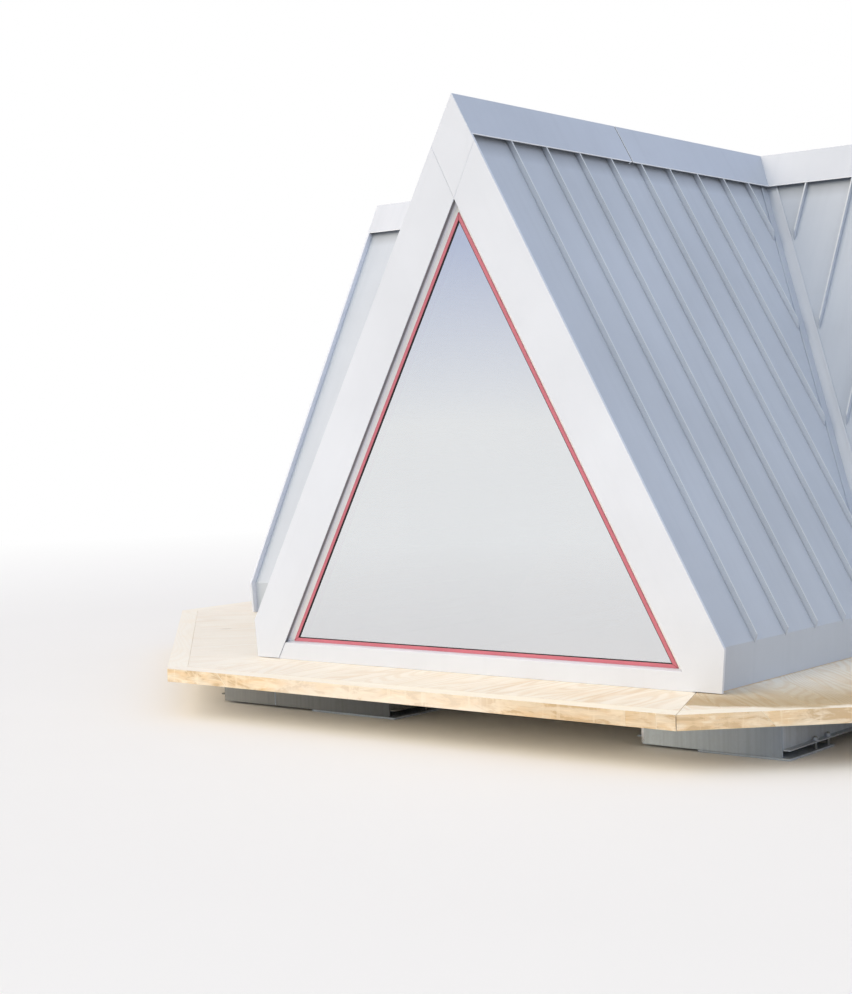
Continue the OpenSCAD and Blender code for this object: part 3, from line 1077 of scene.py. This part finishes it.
class CABIN_OT_ridge_caps(bpy.types.Operator):
    """Model the ridge caps of the four arms, each in two lengths"""

    bl_idname = "cabin.ridge_caps"
    bl_label = "Ridge caps"

    def execute(self, context):
        joint = settings().roof.cap_joint
        verge, gap = 0.005, 0.005
        sides = [cap_side(verge, joint - gap), cap_side(joint + gap, ARM_L), joint_strip(), joint_tab()]
        half = joined("cap_half", sides)
        mark_place(half, (1, 0, 0), (0, 1, 0))
        for number, arm in enumerate(ARMS):
            right = copy_of(half, "right_half")
            left = copy_of(half, "left_half")
            shift_pattern(right, 30 + number)
            shift_pattern(left, 40 + number)
            placed(right, turned(arm) @ roof_matrix())
            placed(left, turned(arm) @ MIRROR @ roof_matrix())
            piece = joined(f"ridge_cap_{arm}", [right, left])
            finished(piece, FINISH["roof"], "roof_metal", f"{arm}_ridge_cap")
        bpy.data.objects.remove(half)
        return {"FINISHED"}


def on_each_arm(master, name, finish, slot, solid, seed):
    """Copies a piece of the front arm to all arms, where it stands for the arm's own solid"""
    for number, arm in enumerate(ARMS):
        piece = copy_of(master, name.format(arm=arm))
        shift_pattern(piece, seed + number)
        placed(piece, turned(arm))
        finished(piece, FINISH[finish], slot, solid.format(arm=arm))
    bpy.data.objects.remove(master)


class CABIN_OT_gable_trim(bpy.types.Operator):
    """Finish the folded trim and the apex panels of the four gables"""

    bl_idname = "cabin.gable_trim"
    bl_label = "Gable trim"

    def execute(self, context):
        for side, sign in (("left", -1), ("right", 1)):
            trim = from_solid(f"front_trim_{side}", "trim")
            fall = Vector((sign * DOWN_RAKE.x, 0, DOWN_RAKE.z))
            outwards = Vector((sign * OUT_OF_ROOF.x, 0, OUT_OF_ROOF.z))
            self.slot_behind_edge(trim, outwards)
            ease_edges(trim, 0.0016, 2)
            mark_place(trim, fall, fall.cross(Vector((0, 1, 0))))
            self.mark_painted_shade(trim, outwards)
            on_each_arm(trim, "gable_trim_{arm}_" + side, "trim", "trim_metal", "{arm}_trim_" + side, 50)
        apex = from_solid("apex_panels", "apex_panels")
        ease_edges(apex, 0.0012, 2)
        mark_place(apex, (0, 0, -1), (1, 0, 0))
        apex.name = "gable_apex_panels"
        finished(apex, FINISH["trim"], "trim_metal", "apex_panels")
        return {"FINISHED"}

    def slot_behind_edge(self, trim, outwards):
        """Folds a narrow shadow slot into the lining of the opening, close behind the trim's face"""
        inner = inner_side(trim, outwards)
        lining = 0.012
        start, deepest, end = -ARM_L + 0.005, -ARM_L + 0.014, -ARM_L + 0.036
        with editing(trim):
            for place in (start, deepest, end):
                cut(trim, (0, place, 0), (0, 1, 0))
            pick(trim, "VERT", lambda v: (
                abs(v.co.y - deepest) < TINY and (v.co - APEX).dot(outwards) < inner + lining
            ))
            bpy.ops.transform.translate(value=outwards * settings().roof.reveal_slot)
            bpy.ops.mesh.select_all(action="SELECT")
            bpy.ops.mesh.remove_doubles(threshold=WELD)

    def mark_painted_shade(self, trim, outwards):
        """Stores how much painted shade lies in the slot behind the face: less and less towards its end"""
        inner = inner_side(trim, outwards)
        lining = 0.03
        start, end, last = -ARM_L + 0.010, -ARM_L + 0.036, -ARM_L + 0.056
        layer = trim.data.attributes.new("painted_shade", "FLOAT", "POINT")
        for index, vertex in enumerate(trim.data.vertices):
            in_slot = start < vertex.co.y < last and (vertex.co - APEX).dot(outwards) < inner + lining
            behind = (vertex.co.y - start) / (end - start)
            layer.data[index].value = max(0.0, 1.0 - behind) if in_slot else 0.0


class CABIN_OT_windows(bpy.types.Operator):
    """Model the frames, gaskets, glass units and sills of the four windows"""

    bl_idname = "cabin.windows"
    bl_label = "Windows"

    def execute(self, context):
        bars = from_solid("front_window_frame", "frame")
        ease_edges(bars, 0.002, 3)
        mark_place(bars, (0, 0, 1), (1, 0, 0))
        on_each_arm(bars, "window_frame_{arm}", "red", "frame_red", "{arm}_window_frame", 60)
        gaskets = from_solid("window_gaskets", "glazing_gaskets")
        ease_edges(gaskets, 0.0014, 2)
        finished(gaskets, FINISH["gasket"], "gasket_black", "window_gaskets")
        sills = from_solid("window_sills", "window_sill_flashings")
        ease_edges(sills, 0.003, 3)
        mark_place(sills, (0, 0, 1), (1, 0, 0))
        finished(sills, FINISH["trim"], "trim_metal", "window_sills")
        self.glass_units()
        return {"FINISHED"}

    def glass_units(self):
        """Each unit is a coated outer pane, a spacer bar and a clear inner pane"""
        low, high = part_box("front_glass")
        pane = 0.006
        outer = from_solid("front_glass", "outer_pane")
        with editing(outer):
            cut(outer, (0, low.y + pane, 0), (0, 1, 0), "behind")
        inner = from_solid("front_glass", "inner_pane")
        with editing(inner):
            cut(inner, (0, high.y - pane, 0), (0, 1, 0), "ahead")
        for master, name, solids in (
            (outer, "outer_pane_{arm}", ["{arm}_glass"]), (inner, "inner_pane_{arm}", []),
        ):
            ease_edges(master, 0.0008, 1)
            for arm in ARMS:
                piece = placed(copy_of(master, name.format(arm=arm)), turned(arm))
                nodes = [solid.format(arm=arm) for solid in solids]
                finished(piece, FINISH["clear_glass"], "window_glass", *nodes)
                piece.data.materials.append(FINISH["coated_glass"])
                facing = turned(arm) @ Vector((0, -1, 0))
                for face in piece.data.polygons:
                    if master is outer and face.normal.dot(facing) > COATED:
                        face.material_index = 1
            bpy.data.objects.remove(master)
        self.spacer_bars(-low.y, -low.y - pane, -high.y + pane)

    def spacer_bars(self, rear, near, far):
        """Bars in the shape of the gaskets, moved in between the two panes of each unit"""
        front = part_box("window_gaskets")[1].x
        spacers = from_solid("window_gaskets", "glass_spacer_bars")
        with editing(spacers):
            for arm in ARMS:
                facing = turned(arm) @ Vector((0, -1, 0))
                pick(spacers, "VERT", lambda v: abs(v.co.dot(facing) - rear) < TINY)
                bpy.ops.transform.translate(value=(far - rear) * facing)
                pick(spacers, "VERT", lambda v: abs(v.co.dot(facing) - front) < TINY)
                bpy.ops.transform.translate(value=(near - front) * facing)
        ease_edges(spacers, 0.001, 1)
        finished(spacers, FINISH["spacer"], "window_glass")


class CABIN_OT_lining(bpy.types.Operator):
    """Model the boarded lining of the eight roof panels"""

    bl_idname = "cabin.lining"
    bl_label = "Roof panels"

    def execute(self, context):
        timber = settings().timber
        panel = from_solid("front_panel_right", "panel")
        inner = inner_side(panel, OUT_OF_ROOF)
        rows = int(RAKE_L / timber.board_w) + 2
        joints_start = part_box("front_window_frame")[1].y + 0.002
        run_out = 0.004
        with editing(panel):
            for place in (joints_start, joints_start + run_out):
                cut(panel, (0, place, 0), (0, 1, 0))
            for row in range(2, rows):
                groove(
                    panel, APEX + DOWN_RAKE * (row * timber.board_w), DOWN_RAKE, timber.joint_w,
                    OUT_OF_ROOF * timber.joint_d, lambda co: (
                        (co - APEX).dot(OUT_OF_ROOF) < inner + TINY and co.y > joints_start + TINY
                    ),
                )
        mark_place(panel, (0, 1, 0), DOWN_RAKE, lambda co: (
            int((co - APEX).dot(DOWN_RAKE) / timber.board_w), False
        ))
        end_boards = 0.1 - ARM_L
        for number, arm in enumerate(ARMS):
            for side, hand in HANDS:
                piece = copy_of(panel, f"roof_panel_{arm}_{side}")
                piece.data.materials.append(FINISH["lining"])
                piece.data.materials.append(FINISH["board_edge"])
                for face in piece.data.polygons:
                    at_gable = face.normal.y < -FACING and face.center.y < end_boards
                    face.material_index = 1 if at_gable else 0
                shift_pattern(piece, 70 + 2 * number + (side == "left"))
                placed(piece, turned(arm) @ hand)
                finished(piece, FINISH["lining"], "panel_timber", f"{arm}_panel_{side}")
        bpy.data.objects.remove(panel)
        return {"FINISHED"}


class CABIN_OT_floor(bpy.types.Operator):
    """Model the boarded floor inside"""

    bl_idname = "cabin.floor_boards"
    bl_label = "Floor"

    def execute(self, context):
        timber = settings().timber
        low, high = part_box("floor")
        floor = from_solid("floor", "floor_boards")
        count = int(high.x / timber.board_w)
        with editing(floor):
            for row in range(-count, count + 1):
                groove(
                    floor, (row * timber.board_w, 0, 0), (1, 0, 0), timber.joint_w / 2,
                    (0, 0, -timber.joint_d), lambda co: co.z > high.z - TINY,
                )
        mark_place(floor, (0, 1, 0), (1, 0, 0), lambda co: (math.floor(co.x / timber.board_w), False))
        only(floor)
        bpy.ops.object.shade_flat()
        finished(floor, FINISH["floor"], "floor_timber", "floor")
        return {"FINISHED"}


DECK_SIDES = ("front", "front_right", "right", "back_right", "back", "back_left", "left", "front_left")
DECK_HALF_TURN = math.pi / len(DECK_SIDES)
BORDER_JOINTS = (
    (Vector((-1.314, 0, DECK_TOP)), Vector((1, 0, 0.9))),
    (Vector((1.448, 0, DECK_TOP)), Vector((1, 0, 0))),
    (Vector((1.620, 0, DECK_TOP)), Vector((1, 0, 0))),
)


class CABIN_OT_deck(bpy.types.Operator):
    """Model the eight boarded segments of the deck"""

    bl_idname = "cabin.deck"
    bl_label = "Deck"

    def execute(self, context):
        border = -DECK_R + settings().timber.border_w
        segment = self.boards(border)
        self.number_boards(segment, border)
        for finish in ("deck", "border", "deck_edge"):
            segment.data.materials.append(FINISH[finish])
        for face in segment.data.polygons:
            if face.normal.y < -FACING:
                face.material_index = 2
            elif face.normal.z > 0.5 and face.center.y < border:
                face.material_index = 1
        for number, name in enumerate(DECK_SIDES):
            piece = copy_of(segment, f"deck_segment_{name}")
            shift_pattern(piece, 90 + number)
            placed(piece, Matrix.Rotation(2 * DECK_HALF_TURN * number, 4, "Z"))
            finished(piece, FINISH["deck"], "deck_timber", "deck")
        bpy.data.objects.remove(segment)
        return {"FINISHED"}

    def boards(self, border):
        """One side of the deck: boards that run outwards, a border board across them, and two mitres"""
        timber = settings().timber
        side = DECK_R * math.tan(DECK_HALF_TURN)
        segment = block("segment", (-side, -DECK_R, DECK_LOW), (side, 0, DECK_TOP))
        sink = Vector((0, 0, -timber.joint_d / 2))
        count = int(side / timber.board_w) + 1
        with editing(segment):
            groove(segment, (0, border, 0), (0, 1, 0), timber.joint_w / 4, sink, self.on_top)
            for row in range(-count, count + 1):
                groove(
                    segment, ((row + 0.5) * timber.board_w, 0, 0), (1, 0, 0), timber.joint_w / 2,
                    sink, lambda co: self.on_top(co) and co.y > border - TINY,
                )
            for place, lean in BORDER_JOINTS:
                groove(
                    segment, place, lean, timber.joint_w / 4, (0, timber.joint_d / 2, 0),
                    lambda co: co.y < -DECK_R + TINY,
                )
            for sign in (-1, 1):
                normal = Vector((sign * math.cos(DECK_HALF_TURN), math.sin(DECK_HALF_TURN), 0))
                cut(segment, -normal * timber.mitre_gap / 2, normal, "behind")
        return segment

    def on_top(self, co):
        """Says whether a point lies on the deck's top"""
        return co.z > DECK_TOP - TINY

    def number_boards(self, segment, border):
        """Gives each board its own stretch of grain, with the border board's lengths turned crosswise"""
        def number(co):
            if co.y < border:
                return 99 + sum((co - place).dot(lean) > 0 for place, lean in BORDER_JOINTS), True
            return math.floor(co.x / settings().timber.board_w + 0.5), False

        mark_place(segment, (0, 1, 0), (1, 0, 0), number)


class CABIN_OT_base(bpy.types.Operator):
    """Finish the steel beams, end channels and base plates"""

    bl_idname = "cabin.base"
    bl_label = "Steel base"

    def execute(self, context):
        for solid, name, finish in (
            # The left beams take the darker zinc: painted shade
            ("left_base_beams", "base_beams_left", "shaded_zinc"),
            ("right_base_beams", "base_beams_right", "zinc"),
            ("base_plates", "base_plates_galvanised", "zinc"),
        ):
            piece = from_solid(solid, name)
            ease_edges(piece, 0.003, 2)
            finished(piece, FINISH[finish], "base_steel", solid)
        self.end_channels()
        self.anchor_bolts()
        return {"FINISHED"}

    def end_channels(self):
        """Channels across the beams' ends, with a bright rounded end on the right and a weld on the left"""
        low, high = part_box("base_end_channels")
        channels = from_solid("base_end_channels", "channels")
        bright_end = min(v.co.x for v in channels.data.vertices if v.co.x > 0)
        ease_edges(channels, 0.003, 2)
        channels.data.materials.append(FINISH["channel_right"])
        channels.data.materials.append(FINISH["channel_left"])
        for face in channels.data.polygons:
            face.material_index = 1 if face.center.x < 0 else 0
        parts = [channels]
        proud, short = 0.003, 0.002
        for across, half_w, foot, finish in (
            (-1.432, 0.003, 0.004, "zinc"), (bright_end + 0.005, 0.007, 0.012, "bright_zinc"),
        ):
            for end in (low.y, high.y):
                bead = block(
                    "bead", (across - half_w, end - proud, low.z + foot),
                    (across + half_w, end + proud, high.z - short),
                )
                with editing(bead):
                    bpy.ops.mesh.subdivide(number_cuts=2)
                    bpy.ops.transform.vertex_random(offset=0.0006, uniform=1, seed=7)
                ease_edges(bead, 0.002, 3)
                bead.data.materials.append(FINISH[finish])
                parts.append(bead)
        piece = joined("base_end_channels_galvanised", parts)
        finished(piece, FINISH["channel_right"], "base_steel", "base_end_channels")

    def anchor_bolts(self):
        """Two bolts through the lower flange into each base plate"""
        flange_t = 0.008
        plate_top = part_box("base_plates")[1].z
        flange_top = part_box("left_base_beams")[0].z + flange_t
        for side, across in (("left", -0.516), ("right", 1.982)):
            parts = []
            for end in (-1, 1):
                for along in (3.26, 3.12):
                    parts += self.bolt(across, end * along, plate_top, flange_top)
            piece = joined(f"anchor_bolts_{side}", parts)
            finished(piece, FINISH["zinc"], "base_steel")

    def bolt(self, across, along, plate, flange):
        """A stud with a washer and a hexagon nut on the flange"""
        made = []
        for name, sides, radius, foot, top in (
            ("stud", 20, 0.008, plate - 0.001, flange + 0.022),
            ("washer", 24, 0.019, flange - 0.0005, flange + 0.003),
            ("nut", 6, 0.0145, flange + 0.003, flange + 0.015),
        ):
            bpy.ops.object.select_all(action="DESELECT")
            bpy.ops.mesh.primitive_cylinder_add(
                vertices=sides, radius=radius, depth=top - foot,
                location=(across, along, (top + foot) / 2),
            )
            part = bpy.context.object
            part.name = name
            bpy.ops.object.transform_apply(location=True, rotation=True, scale=True)
            ease_edges(part, 0.0012, 2)
            # The studs take the darker zinc, painted shade in the gap below the flange
            part.data.materials.append(FINISH["shaded_zinc" if name == "stud" else "zinc"])
            made.append(part)
        return made


class CABIN_OT_stage(bpy.types.Operator):
    """Lay the plain floor and set the light and the camera"""

    bl_idname = "cabin.stage"
    bl_label = "Stage"

    def execute(self, context):
        self.floor()
        self.light(context.scene)
        self.camera(context.scene)
        context.scene.view_settings.view_transform = "Standard"
        return {"FINISHED"}

    def floor(self):
        """Plain pale floor"""
        bpy.ops.object.select_all(action="DESELECT")
        bpy.ops.mesh.primitive_circle_add(vertices=96, radius=90, fill_type="NGON")
        floor = bpy.context.object
        floor.name = "studio_floor"
        material, tree, shader = new_material("studio_floor", Roughness=0.9, Specular_IOR_Level=0.1)
        colour = settings().stage.floor
        mottle = noise(tree, coordinates(tree), 1.5, 3)
        base = blend(tree, mottle, shade(colour, 0.995), shade(colour, 1.005))
        tree.links.new(base, shader.inputs["Base Color"])
        distance = node(tree, "ShaderNodeVectorMath", {0: coordinates(tree)}, operation="LENGTH")
        far_away = spread(tree, distance.outputs["Value"], 7, 18)
        path = node(tree, "ShaderNodeLightPath")
        glow = spread(tree, path.outputs["Is Diffuse Ray"], 0, 1, 1, settings().stage.floor_glow)
        white = node(tree, "ShaderNodeEmission", {"Color": (1, 1, 1, 1), "Strength": glow}).outputs[0]
        mixed = node(tree, "ShaderNodeMixShader", {0: far_away, 1: shader.outputs[0], 2: white})
        tree.links.new(mixed.outputs[0], tree.nodes["Material Output"].inputs["Surface"])
        floor.data.materials.append(material)

    def light(self, scene):
        """Three broad soft lamps and pale surroundings"""
        stage = settings().stage
        for name, towards, wide, strength, colour in (
            ("key_lamp", (-0.692, -0.415, 0.593), 60, stage.key_strength, stage.key_colour),
            ("front_lamp", (-0.30, -0.80, 0.52), 50, stage.front_strength, stage.front_colour),
            ("side_lamp", (0.80, -0.35, 0.50), 60, stage.side_strength, stage.side_colour),
        ):
            lamp = bpy.data.lights.new(name, "SUN")
            lamp.energy = strength
            lamp.color = colour
            lamp.angle = math.radians(wide)
            holder = bpy.data.objects.new(name, lamp)
            holder.rotation_euler = Vector(towards).to_track_quat("Z", "Y").to_euler()
            scene.collection.objects.link(holder)
        world = bpy.data.worlds.new("studio_light")
        world.use_nodes = True
        scene.world = world
        tree = world.node_tree
        tree.nodes.clear()
        direction = node(tree, "ShaderNodeTexCoord").outputs["Generated"]
        height = node(tree, "ShaderNodeSeparateXYZ", {"Vector": direction}).outputs["Z"]
        around = blend(tree, spread(tree, height, 0.0, 0.35), stage.horizon, stage.sky)
        lit = node(tree, "ShaderNodeBackground", {"Color": around, "Strength": 1.0}).outputs[0]
        mirrored = blend(tree, spread(tree, height, 0.0, 0.10), stage.mirrored_low, stage.mirrored_high)
        plain = node(tree, "ShaderNodeBackground", {"Color": mirrored, "Strength": 1.0}).outputs[0]
        white = node(tree, "ShaderNodeBackground", {"Color": (1, 1, 1, 1), "Strength": 1.0}).outputs[0]
        path = node(tree, "ShaderNodeLightPath").outputs
        glossy, seen = path["Is Glossy Ray"], path["Is Camera Ray"]
        mixed = node(tree, "ShaderNodeMixShader", {0: glossy, 1: lit, 2: plain}).outputs[0]
        mixed = node(tree, "ShaderNodeMixShader", {0: seen, 1: mixed, 2: white}).outputs[0]
        node(tree, "ShaderNodeOutputWorld", {"Surface": mixed})

    def camera(self, scene):
        """Camera at the photograph's place"""
        stage = settings().stage
        data = bpy.data.cameras.new("camera")
        data.lens = stage.focal
        data.clip_end = 300
        view = bpy.data.objects.new("camera", data)
        ahead = Vector((
            math.sin(stage.yaw) * math.cos(stage.pitch),
            math.cos(stage.yaw) * math.cos(stage.pitch),
            math.sin(stage.pitch),
        ))
        level = Vector((math.cos(stage.yaw), -math.sin(stage.yaw), 0))
        down = ahead.cross(level)
        right = level * math.cos(stage.roll) + down * math.sin(stage.roll)
        down = down * math.cos(stage.roll) - level * math.sin(stage.roll)
        place = Vector((stage.camera_x, stage.camera_y, stage.eye_h + DECK_TOP))
        view.matrix_world = axes_matrix((right, -down, -ahead, place))
        scene.collection.objects.link(view)
        scene.camera = view


OPERATORS = (
    CABIN_OT_materials, CABIN_OT_roof_slopes, CABIN_OT_valleys, CABIN_OT_ridge_caps,
    CABIN_OT_gable_trim, CABIN_OT_windows, CABIN_OT_lining, CABIN_OT_floor, CABIN_OT_deck,
    CABIN_OT_base, CABIN_OT_stage,
)


class VIEW3D_PT_cabin(bpy.types.Panel):
    """Lists the steps that make the cabin"""

    bl_label = "Cabin"
    bl_space_type = "VIEW_3D"
    bl_region_type = "UI"
    bl_category = "Cabin"

    def draw(self, context):
        for step in OPERATORS:
            self.layout.operator(step.bl_idname)
        for group in ("roof", "timber", "finish", "stage"):
            values = getattr(context.scene.cabin, group)
            box = self.layout.box()
            for name in values.__annotations__:
                box.prop(values, name)


CLASSES = (
    RoofSizes, TimberSizes, Finishes, StageSettings, CabinSettings, *OPERATORS, VIEW3D_PT_cabin,
)


def register():
    for kind in CLASSES:
        bpy.utils.register_class(kind)
    bpy.types.Scene.cabin = PointerProperty(type=CabinSettings)


def unregister():
    del bpy.types.Scene.cabin
    for kind in reversed(CLASSES):
        bpy.utils.unregister_class(kind)


def main():
    register()
    for step in OPERATORS:
        group, name = step.bl_idname.split(".")
        getattr(getattr(bpy.ops, group), name)()


if __name__ == "__main__":
    main()
